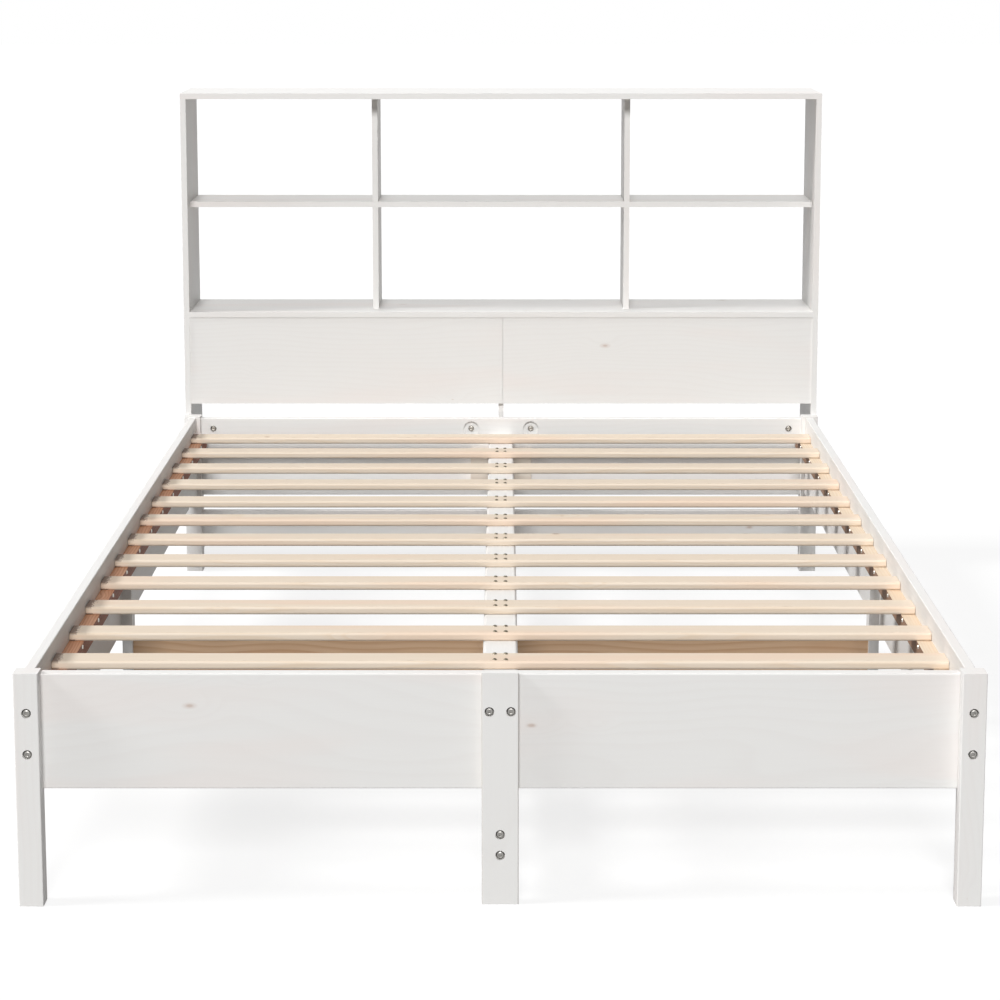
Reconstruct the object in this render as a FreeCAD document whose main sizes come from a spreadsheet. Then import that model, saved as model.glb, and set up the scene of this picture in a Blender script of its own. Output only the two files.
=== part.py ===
import FreeCAD
import Part
import Sketcher
import os
import re

# A bookcase headboard bed of white-washed pine that is bolted together from flat boards.
# Frame: +X to the right and +Y towards the head, as seen by someone standing at the foot,
# +Z up. The origin lies on the floor, under the middle of the whole bed and bookcase.

# Driving dimensions in millimetres: name, value, what it measures.
SIZES = (
    ("bed_width", 1255, "over the outer faces of the corner legs"),
    ("bed_length", 2057, "front of the foot legs to the back of the head legs"),
    ("leg_side", 32, "square section of a corner leg"),
    ("leg_height", 312, "corner leg"),
    ("rail_inset", 9, "outer face of a leg to the outer face of a side rail"),
    ("rail_thick", 14.5, "side rail"),
    ("rail_height", 154, "side rail"),
    ("rail_bottom", 156, "floor to the underside of a side rail"),
    ("board_thick", 20, "foot board and head rail"),
    ("board_height", 154, "foot board and head rail"),
    ("board_bottom", 153, "floor to the underside of a foot board or the head rail"),
    ("board_setback", 22, "front of a foot leg to the front of the foot boards"),
    ("board_joint", 0.6, "gap between the two foot boards, behind the centre leg"),
    ("post_width", 48, "foot centre leg and mid centre leg"),
    ("post_thick", 13.5, "foot centre leg"),
    ("post_height", 311, "foot centre leg"),
    ("edge_round", 1.5, "sanded long edges of the boards and legs"),
    ("ledger_width", 21, "slat ledger, across the bed"),
    ("ledger_height", 22, "slat ledger"),
    ("ledger_top", 275, "floor to the top of the ledgers and the centre beam"),
    ("ledger_gap", 1, "end of a ledger to the board that it points at"),
    ("beam_width", 48, "centre beam"),
    ("beam_height", 27, "centre beam"),
    ("beam_round", 4, "rounded long edges of the centre beam"),
    ("block_width", 120, "bearer block under each end of the centre beam"),
    ("block_thick", 18, "bearer block"),
    ("block_height", 70, "bearer block"),
    ("slat_count", 12, "slats"),
    ("slat_width", 48, "slat"),
    ("slat_thick", 12, "slat"),
    ("slat_round", 4, "rounded long edges of a slat"),
    ("slat_start", 190, "front of the foot legs to the middle of the first slat"),
    ("slat_end", 107, "middle of the last slat to the back of the head legs"),
    ("slat_gap", 0.5, "end of a slat to the side rail"),
    ("mid_width", 16, "mid leg, across the bed"),
    ("mid_depth", 36, "mid leg, along the bed"),
    ("mid_start", 878, "front of the foot legs to the front of the mid legs"),
    ("stretcher_thick", 18, "mid and back stretchers"),
    ("stretcher_height", 70, "mid, back and centre stretchers"),
    ("mid_bottom", 68, "floor to the underside of the mid stretcher"),
    ("low_bottom", 51, "floor to the underside of the back and centre stretchers"),
    ("spine_thick", 16, "centre stretchers and mid centre leg"),
    ("case_depth", 207, "bookcase"),
    ("case_height", 947, "bookcase"),
    ("panel_thick", 11, "boards of the bookcase"),
    ("shelf_depth", 154, "middle shelf and dividers, back from their set-back front edge"),
    ("middle_top", 731, "floor to the top of the middle shelf"),
    ("bottom_top", 517, "floor to the top of the bottom shelf"),
    ("divider_middle", 249.5, "middle of the bookcase to the middle of a divider"),
    ("lap_gap", 0.2, "clearance in the cross laps of shelf and dividers"),
    ("front_height", 172.5, "front panels under the bottom shelf"),
    ("front_setback", 2, "front of the bookcase to the front panels"),
    ("front_joint", 3.5, "middle of the bookcase to the joint of the front panels"),
    ("joint_gap", 0.5, "gap between the two front panels"),
    ("support_thick", 10, "centre support of the bookcase"),
    ("tie_height", 140, "tie rail of the bookcase, behind the head rail"),
    ("tie_bottom", 160, "floor to the underside of the tie rail"),
    ("bolt_size", 6, "shank of every furniture bolt"),
    ("bolt_play", 0.6, "clearance of a bolt in its hole, on the diameter"),
    ("bolt_length", 58, "shank of the bolts into the ends of the side rails"),
    ("beam_bolt", 66, "shank of the bolts into the end of the centre beam"),
    ("spine_bolt", 45, "shank of the bolts into the end of the centre stretcher"),
    ("drill_spare", 2, "depth of a bolt hole past the end of its bolt"),
    ("head_size", 11.5, "button head of a bolt"),
    ("head_height", 3.3, "button head of a bolt"),
    ("head_edge", 1.1, "straight rim of a button head, below its sloping crown"),
    ("head_crown", 7.4, "flat top of a button head"),
    ("socket_size", 4, "hexagon socket of a bolt, across its flats"),
    ("socket_depth", 1.8, "hexagon socket of a bolt"),
    ("sink_size", 12.7, "counterbore for a bolt head"),
    ("sink_depth", 3.6, "counterbore for a bolt head"),
    ("bolt_low", 204.5, "floor to the lower bolts of a corner leg"),
    ("bolt_high", 259.5, "floor to the upper bolts of the corner legs and the centre leg"),
    ("post_spread", 14, "middle of the centre leg to each of its upper bolts"),
    ("spine_low", 66.5, "floor to the lowest bolt of the centre leg"),
    ("spine_high", 94.5, "floor to the next bolt of the centre leg"),
    ("nut_size", 10, "barrel nut"),
    ("nut_length", 12, "barrel nut"),
    ("nut_play", 0.3, "clearance of a barrel nut in its hole, on the diameter"),
    ("nut_setback", 22, "end of a rail to the middle of its barrel nuts"),
    ("cap_size", 14, "flange of a cap nut"),
    ("cap_height", 5, "cap nut behind a board"),
    ("recess_size", 30, "round recess in the head rail"),
    ("recess_depth", 6, "round recess in the head rail"),
    ("recess_spread", 59, "middle of the head rail to each recess"),
    ("fixing_height", 286, "floor to the fixings between head rail and bookcase"),
    ("fixing_margin", 24.5, "each end of the head rail to its outer fixing"),
    ("dowel_size", 6, "wooden dowel"),
    ("dowel_length", 24, "wooden dowel"),
    ("dowel_play", 0.2, "clearance of a dowel in its hole, on the diameter"),
    ("dowel_seat", 7, "depth of a dowel in the face of a board"),
    ("dowel_margin", 30, "edge of a board to its first dowel"),
)

doc = FreeCAD.newDocument("BookcaseBed")
sheet = doc.addObject("Spreadsheet::Sheet", "Sizes")
for row, (alias, value, note) in enumerate(SIZES, start=1):
    sheet.set("A%d" % row, note)
    sheet.set("B%d" % row, "%g" % value)
    sheet.setAlias("B%d" % row, alias)
doc.recompute()

# Places that several pieces share, as expressions on the sheet.
HALF = "bed_width / 2"
FOOT = "(0 - (bed_length + case_depth) / 2)"
HEAD = f"({FOOT} + bed_length)"
CASE_BACK = f"({HEAD} + case_depth)"
LEG_IN = f"({HALF} - leg_side)"
RAIL_OUT = f"({HALF} - rail_inset)"
RAIL_IN = f"({RAIL_OUT} - rail_thick)"
RAIL_LINE = "(rail_inset + rail_thick / 2)"
BOARD_FRONT = f"({FOOT} + board_setback)"
BOARD_BACK = f"({BOARD_FRONT} + board_thick)"
HEAD_RAIL_FRONT = f"({HEAD} - board_thick)"
BEAM_BOTTOM = "(ledger_top - beam_height)"
LEDGER_BOTTOM = "(ledger_top - ledger_height)"
MID_FRONT = f"({FOOT} + mid_start)"
MID_STRETCHER_FRONT = f"({MID_FRONT} + (mid_depth - stretcher_thick) / 2)"
MID_STRETCHER_BACK = f"({MID_STRETCHER_FRONT} + stretcher_thick)"
MID_POST_FRONT = f"({MID_STRETCHER_FRONT} - spine_thick)"
BACK_STRETCHER_FRONT = f"({HEAD} - (leg_side + stretcher_thick) / 2)"
CASE_IN = f"({HALF} - panel_thick)"
SHELF_FRONT = f"({CASE_BACK} - shelf_depth)"
BOTTOM_UNDER = "(bottom_top - panel_thick)"
TOP_UNDER = "(case_height - panel_thick)"
PANEL_BACK = "(front_setback + panel_thick)"
BOLT_HOLE = "bolt_size + bolt_play"
NUT_HOLE = "nut_size + nut_play"
DOWEL_HOLE = "dowel_size + dowel_play"
DOWEL_END = "(dowel_length - dowel_seat)"
RAIL_DRILL = "(sink_depth + bolt_length - leg_side + drill_spare)"
BEAM_DRILL = "(sink_depth + beam_bolt - post_thick - board_thick + drill_spare)"
NUT_TOP = f"(bolt_high - {BEAM_BOTTOM} + nut_length / 2)"
SPINE_DRILL = "(sink_depth + spine_bolt - post_thick + drill_spare)"
FRONT_BOTTOM = f"({BOTTOM_UNDER} - front_height)"
FOOT_PEG_LINE = "((board_setback + leg_side) / 2)"
HEAD_PEG_LINE = "(leg_side - board_thick / 2)"
BOARD_PEG_LOW = "dowel_margin"
BOARD_PEG_HIGH = "(board_height - dowel_margin)"
STRETCHER_PEG_LOW = "(stretcher_height / 4)"
STRETCHER_PEG_HIGH = "(stretcher_height * 3 / 4)"
SLAT_PITCH = "((bed_length - slat_start - slat_end) / (slat_count - 1))"
OUTER_FIXING = f"({LEG_IN} - fixing_margin)"
SIDES = ("left", "right")

# Flats of what is hidden in the joints and drawn as a prism: round work with few faces.
PEG_FLATS = 6
BOLT_FLATS = 8
HEAD_FLATS = 12


def bound(text):
    """Gives each alias in an expression the name of its sheet."""
    return re.sub(r"[a-z]\w*", lambda word: "Sizes." + word.group(), text)


def place(item, corner):
    """Binds where an object's own origin lies in the bed."""
    for axis, text in zip("xyz", corner):
        item.setExpression("Placement.Base." + axis, bound(text))


def mirrored(side, inner, outer):
    """The lowest x of a piece that lies between two distances from the bed's middle."""
    return f"({inner})" if side == "right" else f"(0 - ({outer}))"


def attach(item, body, role, level):
    """Lays a feature on one of the body's own planes, lifted off it by a distance."""
    plane = next(feature for feature in body.Origin.OriginFeatures if feature.Role == role)
    item.AttachmentSupport = [(plane, "")]
    item.MapMode = "FlatFace"
    item.setExpression("AttachmentOffset.Base.z", bound(level))


def sketch(body, name, role, level="0"):
    """A sketch on one of the body's own planes."""
    item = body.newObject("Sketcher::SketchObject", name)
    attach(item, body, role, level)
    return item


def measure(item, kind, geometry, text, guess):
    """Adds a dimension to a sketch and binds it."""
    number = item.addConstraint(Sketcher.Constraint(kind, *geometry, guess))
    item.setExpression(f"Constraints[{number}]", bound(text))


def rectangle(item, width, depth, start=None):
    """Draws a rectangle whose lowest corner lies at start, or at the sketch's origin."""
    guess = [FreeCAD.Vector(x, y, 0) for x, y in ((5, 5), (9, 5), (9, 9), (5, 9))]
    for number in range(4):
        item.addGeometry(Part.LineSegment(guess[number], guess[(number + 1) % 4]))
    for number in range(4):
        item.addConstraint(Sketcher.Constraint("Coincident", number, 2, (number + 1) % 4, 1))
    for number in (0, 2):
        item.addConstraint(Sketcher.Constraint("Horizontal", number))
        item.addConstraint(Sketcher.Constraint("Vertical", number + 1))
    measure(item, "DistanceX", (0, 1, 0, 2), width, 4)
    measure(item, "DistanceY", (1, 1, 1, 2), depth, 4)
    if start is None:
        item.addConstraint(Sketcher.Constraint("Coincident", 0, 1, -1, 1))
    else:
        measure(item, "DistanceX", (-1, 1, 0, 1), start[0], 5)
        measure(item, "DistanceY", (-1, 1, 0, 1), start[1], 5)


class Board:
    """A straight piece of timber with its lowest corner at the body's origin."""

    def __init__(self, label, dims, corner):
        self.dims = dims
        self.body = doc.addObject("PartDesign::Body", label)
        self.body.Label = label
        outline = sketch(self.body, "Section", "XY_Plane")
        rectangle(outline, dims[0], dims[1])
        pad = self.body.newObject("PartDesign::Pad", "Timber")
        pad.Profile = outline
        pad.setExpression("Length", bound(dims[2]))
        place(self.body, corner)
        doc.recompute()

    def soften(self, axis, radius="edge_round"):
        """Rounds the four edges that run along one axis: 0, 1 or 2."""
        base = self.body.Tip
        names = []
        for number, edge in enumerate(base.Shape.Edges, start=1):
            run = edge.Vertexes[-1].Point - edge.Vertexes[0].Point
            if abs(run[axis]) > 0.99 * run.Length:
                names.append(f"Edge{number}")
        fillet = self.body.newObject("PartDesign::Fillet", "Softened")
        fillet.Base = (base, names)
        fillet.setExpression("Radius", bound(radius))
        doc.recompute()

    def side(self, name):
        """The plane, level and direction for a cut that enters through a named face."""
        wide, deep, high = self.dims
        return {
            "left": ("YZ_Plane", "0", True),
            "right": ("YZ_Plane", wide, False),
            "front": ("XZ_Plane", "0", False),
            "back": ("XZ_Plane", f"(0 - ({deep}))", True),
            "bottom": ("XY_Plane", "0", True),
            "top": ("XY_Plane", high, False),
        }[name]

    def check(self, before, features):
        """Stops if one of these cuts has left nothing, or has taken nothing."""
        doc.recompute()
        for feature in features:
            if feature.Shape.isNull() or feature.Shape.Volume > before - 0.01:
                raise RuntimeError(f"{self.body.Label}: {feature.Label} cuts nothing")
            before = feature.Shape.Volume

    def cut(self, outline, depth, reverse, name):
        """Takes a sketched outline out of the piece."""
        before = self.body.Shape.Volume
        pocket = self.body.newObject("PartDesign::Pocket", name)
        pocket.Profile = outline
        pocket.Reversed = reverse
        pocket.setExpression("Length", bound(depth))
        self.check(before, [pocket])

    def bore(self, name, face, centres, width, depth):
        """Round holes of one width and depth, entered through a named face."""
        role, level, reverse = self.side(face)
        outline = sketch(self.body, name + "_circles", role, level)
        for number, (along, up) in enumerate(centres):
            middle = FreeCAD.Vector(10 + 10 * number, 10, 0)
            outline.addGeometry(Part.Circle(middle, FreeCAD.Vector(0, 0, 1), 2))
            measure(outline, "Diameter", (number,), width, 4)
            measure(outline, "DistanceX", (-1, 1, number, 3), along, middle.x)
            measure(outline, "DistanceY", (-1, 1, number, 3), up, middle.y)
        self.cut(outline, depth, reverse, name)

    def drill(self, name, face, centres, width, depth, flats=BOLT_FLATS):
        """Holes that close up in the finished bed, drawn with flats, entered through a named face."""
        role, level, inwards = self.side(face)
        start = level if inwards else f"({level} - {depth})"
        before = self.body.Shape.Volume
        holes = []
        for number, centre in enumerate(centres, start=1):
            hole = self.body.newObject("PartDesign::SubtractivePrism", f"{name}_{number}")
            attach(hole, self.body, role, start)
            hole.Polygon = flats
            hole.Refine = False
            hole.setExpression("Circumradius", bound(f"({width}) / 2"))
            hole.setExpression("Height", bound(depth))
            for axis, text in zip("xy", centre):
                hole.setExpression("AttachmentOffset.Base." + axis, bound(text))
            holes.append(hole)
        self.check(before, holes)

    def notch(self, name, face, width, height, start, depth):
        """A rectangular slot, entered through a named face."""
        role, level, reverse = self.side(face)
        outline = sketch(self.body, name + "_outline", role, level)
        rectangle(outline, width, height, start)
        self.cut(outline, depth, reverse, name)


def placed(shape, corner):
    """One fastener, made at its own origin and bound to its place."""
    item = doc.addObject("Part::Feature", "Fastener")
    item.Shape = shape
    place(item, corner)
    return item


def group(label, items):
    """Identical fasteners as one sub-part of separate solids."""
    compound = doc.addObject("Part::Compound", label)
    compound.Label = label
    compound.Links = items
    return compound


def corners(flats, width, height):
    """The closed ring of corners of a regular polygon, square to the y axis at a height."""
    turn = FreeCAD.Rotation(FreeCAD.Vector(0, 1, 0), 360 / flats)
    points = [FreeCAD.Vector(width / 2, height, 0)]
    for corner in range(flats - 1):
        points.append(turn.multVec(points[-1]))
    return points + points[:1]


def flat_sided(flats, width, height):
    """A face with this many sides, square to the y axis at a height, with a corner on its x axis."""
    return Part.Face(Part.makePolygon(corners(flats, width, height)))


def crown():
    """The sloping top of a button head, from its straight rim to its flat."""
    low = corners(HEAD_FLATS, sheet.head_size, -sheet.head_edge)
    high = corners(HEAD_FLATS, sheet.head_crown, -sheet.head_height)
    faces = [Part.Face(Part.makePolygon(ring)) for ring in (low, high)]
    for number in range(HEAD_FLATS):
        slope = [low[number], low[number + 1], high[number + 1], high[number], low[number]]
        faces.append(Part.Face(Part.makePolygon(slope)))
    return Part.makeSolid(Part.makeShell(faces))


def bolt(length, backwards=False):
    """A button-head bolt: the underside of its head lies at its origin, its shank along +Y."""
    along = FreeCAD.Vector(0, 1, 0)
    top = -sheet.head_height
    solid = flat_sided(HEAD_FLATS, sheet.head_size, -sheet.head_edge).extrude(sheet.head_edge * along)
    solid = solid.fuse(crown())
    solid = solid.fuse(flat_sided(BOLT_FLATS, sheet.bolt_size, 0).extrude(length * along))
    across_corners = 2 * sheet.socket_size / 3 ** 0.5
    socket = flat_sided(6, across_corners, top).extrude(sheet.socket_depth * along)
    solid = solid.removeSplitter().cut(socket)
    if backwards:
        solid.rotate(FreeCAD.Vector(), FreeCAD.Vector(0, 0, 1), 180)
    return solid


def peg(axis, corner):
    """A peg along +X or +Z from its place, its flats in line with those of its seats."""
    item = doc.addObject("Part::Prism", "Peg")
    item.Polygon = PEG_FLATS
    item.setExpression("Circumradius", bound("dowel_size / 2"))
    item.setExpression("Height", bound("dowel_length"))
    if axis == "x":
        item.Placement.Rotation = FreeCAD.Rotation(FreeCAD.Vector(1, 1, 1), 120)
    place(item, corner)
    return item


def corner_legs(end):
    """The two square legs at one end, sunk and drilled for the bolts into the side rails."""
    start = FOOT if end == "foot" else f"({HEAD} - leg_side)"
    outside = "front" if end == "foot" else "back"
    for side in SIDES:
        leg = Board(f"{end}_leg_{side}", ("leg_side", "leg_side", "leg_height"),
                    (mirrored(side, LEG_IN, HALF), start, "0"))
        leg.soften(2)
        across = RAIL_LINE if side == "left" else f"(leg_side - {RAIL_LINE})"
        centres = [(across, "bolt_low"), (across, "bolt_high")]
        leg.drill("Clearance", outside, centres, BOLT_HOLE, "leg_side")
        leg.bore("Counterbore", outside, centres, "sink_size", "sink_depth")
        board_low = f"board_bottom + {BOARD_PEG_LOW}"
        board_high = f"board_bottom + {BOARD_PEG_HIGH}"
        along = FOOT_PEG_LINE if end == "foot" else HEAD_PEG_LINE
        inside = "right" if side == "left" else "left"
        seats = [(along, board_low), (along, board_high)]
        leg.drill("Peg_seats", inside, seats, DOWEL_HOLE, "dowel_length / 2", PEG_FLATS)
        if end == "head":
            low = f"low_bottom + {STRETCHER_PEG_LOW}"
            high = f"low_bottom + {STRETCHER_PEG_HIGH}"
            seats = [("leg_side / 2", low), ("leg_side / 2", high)]
            leg.drill("Stretcher_seats", inside, seats, DOWEL_HOLE, "dowel_length / 2", PEG_FLATS)


def side_rails():
    """The long rails, drilled in each end for two bolts and their barrel nuts."""
    long = "(bed_length - 2 * leg_side)"
    for side in SIDES:
        rail = Board(f"side_rail_{side}", ("rail_thick", long, "rail_height"),
                     (mirrored(side, RAIL_IN, RAIL_OUT), f"{FOOT} + leg_side", "rail_bottom"))
        rail.soften(1)
        heights = ("(bolt_low - rail_bottom)", "(bolt_high - rail_bottom)")
        holes = [("rail_thick / 2", up) for up in heights]
        rail.drill("Head_bolts", "back", holes, BOLT_HOLE, RAIL_DRILL)
        rail.drill("Foot_bolts", "front", holes, BOLT_HOLE, RAIL_DRILL)
        inside = "right" if side == "left" else "left"
        ends = ("nut_setback", f"({long} - nut_setback)")
        nuts = [(along, up) for along in ends for up in heights]
        rail.drill("Nut_seats", inside, nuts, NUT_HOLE, "nut_length")


def foot_boards():
    """The two boards across the foot, which meet behind the centre leg."""
    wide = f"({LEG_IN} - board_joint / 2)"
    for side in SIDES:
        board = Board(f"foot_board_{side}", (wide, "board_thick", "board_height"),
                      (mirrored(side, "board_joint / 2", LEG_IN), BOARD_FRONT, "board_bottom"))
        board.soften(0)
        up = "bolt_high - board_bottom"
        if side == "left":
            across = f"({wide} + board_joint / 2 - post_spread)"
            end = "left"
        else:
            across = "(post_spread - board_joint / 2)"
            end = "right"
        board.drill("Centre_bolt", "front", [(across, up)], BOLT_HOLE, "board_thick")
        line = f"({FOOT_PEG_LINE} - board_setback)"
        seats = [(line, BOARD_PEG_LOW), (line, BOARD_PEG_HIGH)]
        board.drill("Peg_seats", end, seats, DOWEL_HOLE, "dowel_length / 2", PEG_FLATS)


def foot_centre_leg():
    """The flat leg over the joint of the foot boards, held by four bolts."""
    leg = Board("foot_centre_leg", ("post_width", "post_thick", "post_height"),
                ("0 - post_width / 2", f"{BOARD_FRONT} - post_thick", "0"))
    leg.soften(2)
    middle = "post_width / 2"
    centres = [(f"({middle} - post_spread)", "bolt_high"), (f"({middle} + post_spread)", "bolt_high")]
    centres += [(middle, "spine_low"), (middle, "spine_high")]
    leg.drill("Clearance", "front", centres, BOLT_HOLE, "post_thick")
    leg.bore("Counterbore", "front", centres, "sink_size", "sink_depth")


def slat_support():
    """The ledgers, the centre beam and the bearer blocks under its ends."""
    start = f"({BOARD_BACK} + ledger_gap)"
    long = f"({HEAD} - leg_side - {BOARD_BACK} - 2 * ledger_gap)"
    for side in SIDES:
        Board(f"slat_ledger_{side}", ("ledger_width", long, "ledger_height"),
                       (mirrored(side, f"{RAIL_IN} - ledger_width", RAIL_IN), start, LEDGER_BOTTOM))
    beam = Board("centre_beam", ("beam_width", f"{HEAD_RAIL_FRONT} - {BOARD_BACK}", "beam_height"),
                 ("0 - beam_width / 2", BOARD_BACK, BEAM_BOTTOM))
    beam.soften(1, "beam_round")
    spread = [f"(beam_width / 2 {sign} post_spread)" for sign in "-+"]
    holes = [(across, f"(bolt_high - {BEAM_BOTTOM})") for across in spread]
    beam.drill("Bolts", "front", holes, BOLT_HOLE, BEAM_DRILL)
    nuts = [(across, "nut_setback") for across in spread]
    beam.drill("Nut_seats", "bottom", nuts, NUT_HOLE, NUT_TOP)
    for end, start in (("foot", BOARD_BACK), ("head", f"({HEAD_RAIL_FRONT} - block_thick)")):
        Board(f"{end}_beam_block", ("block_width", "block_thick", "block_height"),
                      ("0 - block_width / 2", start, f"{BEAM_BOTTOM} - block_height"))


def slats():
    """The row of slats, which lie across the ledgers and the centre beam."""
    wide = f"(2 * ({RAIL_IN} - slat_gap))"
    for number in range(int(sheet.slat_count)):
        slat = Board(f"slat_{number + 1:02d}", (wide, "slat_width", "slat_thick"),
                     (f"0 - {wide} / 2",
                      f"{FOOT} + slat_start - slat_width / 2 + {number} * {SLAT_PITCH}", "ledger_top"))
        slat.soften(0, "slat_round")


def middle_frame():
    """The mid legs on the side rails, the board between them and the leg under the beam."""
    for side in SIDES:
        leg = Board(f"mid_leg_{side}", ("mid_width", "mid_depth", LEDGER_BOTTOM),
                    (mirrored(side, f"{RAIL_IN} - mid_width", RAIL_IN), MID_FRONT, "0"))
        inside = "right" if side == "left" else "left"
        heights = (STRETCHER_PEG_LOW, STRETCHER_PEG_HIGH)
        seats = [("mid_depth / 2", f"mid_bottom + {up}") for up in heights]
        leg.drill("Peg_seats", inside, seats, DOWEL_HOLE, "dowel_seat", PEG_FLATS)
    reach = f"({RAIL_IN} - mid_width)"
    board = Board("mid_stretcher", (f"2 * {reach}", "stretcher_thick", "stretcher_height"),
                  (f"0 - {reach}", MID_STRETCHER_FRONT, "mid_bottom"))
    for end in SIDES:
        seats = [("stretcher_thick / 2", up) for up in (STRETCHER_PEG_LOW, STRETCHER_PEG_HIGH)]
        board.drill(f"Peg_seats_{end}", end, seats, DOWEL_HOLE, DOWEL_END, PEG_FLATS)
    Board("mid_centre_leg", ("post_width", "spine_thick", BEAM_BOTTOM),
          ("0 - post_width / 2", MID_POST_FRONT, "0"))


def low_frame():
    """The board between the head legs and the two boards on edge along the middle."""
    back = Board("back_stretcher", (f"2 * {LEG_IN}", "stretcher_thick", "stretcher_height"),
                 (f"0 - {LEG_IN}", BACK_STRETCHER_FRONT, "low_bottom"))
    low = STRETCHER_PEG_LOW
    high = STRETCHER_PEG_HIGH
    for end in SIDES:
        seats = [("stretcher_thick / 2", low), ("stretcher_thick / 2", high)]
        back.drill(f"Peg_seats_{end}", end, seats, DOWEL_HOLE, "dowel_length / 2", PEG_FLATS)
    front = Board("centre_stretcher_foot",
                  ("spine_thick", f"{MID_POST_FRONT} - {BOARD_FRONT}", "stretcher_height"),
                  ("0 - spine_thick / 2", BOARD_FRONT, "low_bottom"))
    heights = ("(spine_low - low_bottom)", "(spine_high - low_bottom)")
    holes = [("spine_thick / 2", up) for up in heights]
    front.drill("Bolts", "front", holes, BOLT_HOLE, SPINE_DRILL)
    front.drill("Nut_seats", "right", [("nut_setback", up) for up in heights], NUT_HOLE, "nut_length")
    Board("centre_stretcher_head",
          ("spine_thick", f"{BACK_STRETCHER_FRONT} - {MID_STRETCHER_BACK}", "stretcher_height"),
          ("0 - spine_thick / 2", MID_STRETCHER_BACK, "low_bottom"))


def head_rail():
    """The board between the head legs, with two wide recesses and two small holes."""
    rail = Board("head_rail", (f"2 * {LEG_IN}", "board_thick", "board_height"),
                 (f"0 - {LEG_IN}", HEAD_RAIL_FRONT, "board_bottom"))
    rail.soften(0)
    up = "fixing_height - board_bottom"
    wide = [(f"({LEG_IN} {sign} recess_spread)", up) for sign in "-+"]
    outer = [("fixing_margin", up), (f"(2 * {LEG_IN} - fixing_margin)", up)]
    rail.drill("Clearance", "front", wide + outer, BOLT_HOLE, "board_thick")
    rail.bore("Recess", "front", wide, "recess_size", "recess_depth")
    rail.bore("Counterbore", "front", outer, "sink_size", "recess_depth")
    line = f"({HEAD_PEG_LINE} - leg_side + board_thick)"
    for end in SIDES:
        seats = [(line, BOARD_PEG_LOW), (line, BOARD_PEG_HIGH)]
        rail.drill(f"Peg_seats_{end}", end, seats, DOWEL_HOLE, "dowel_length / 2", PEG_FLATS)


def bookcase_sides():
    """The two tall side panels, drilled for the pegs of every board that they carry."""
    for side in SIDES:
        panel = Board(f"bookcase_side_{side}", ("panel_thick", "case_depth", TOP_UNDER),
                      (mirrored(side, CASE_IN, HALF), HEAD, "0"))
        inside = "right" if side == "left" else "left"
        shelf = "case_depth - shelf_depth"
        middle = "(middle_top - panel_thick / 2)"
        bottom = "(bottom_top - panel_thick / 2)"
        seats = [(f"({shelf} + dowel_margin)", middle), ("(case_depth - dowel_margin)", middle)]
        seats += [("dowel_margin", bottom), ("(case_depth - dowel_margin)", bottom)]
        line = "(front_setback + panel_thick / 2)"
        seats += [(line, f"({FRONT_BOTTOM} + dowel_margin)"), (line, f"({BOTTOM_UNDER} - dowel_margin)")]
        tie_line = f"({PANEL_BACK} / 2)"
        seats += [(tie_line, "(tie_bottom + dowel_margin)"),
                  (tie_line, "(tie_bottom + tie_height - dowel_margin)")]
        panel.drill("Peg_seats", inside, seats, DOWEL_HOLE, "dowel_seat", PEG_FLATS)
        tops = [("panel_thick / 2", "dowel_margin"), ("panel_thick / 2", "(case_depth - dowel_margin)")]
        panel.drill("Top_seats", "top", tops, DOWEL_HOLE, DOWEL_END, PEG_FLATS)


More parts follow.
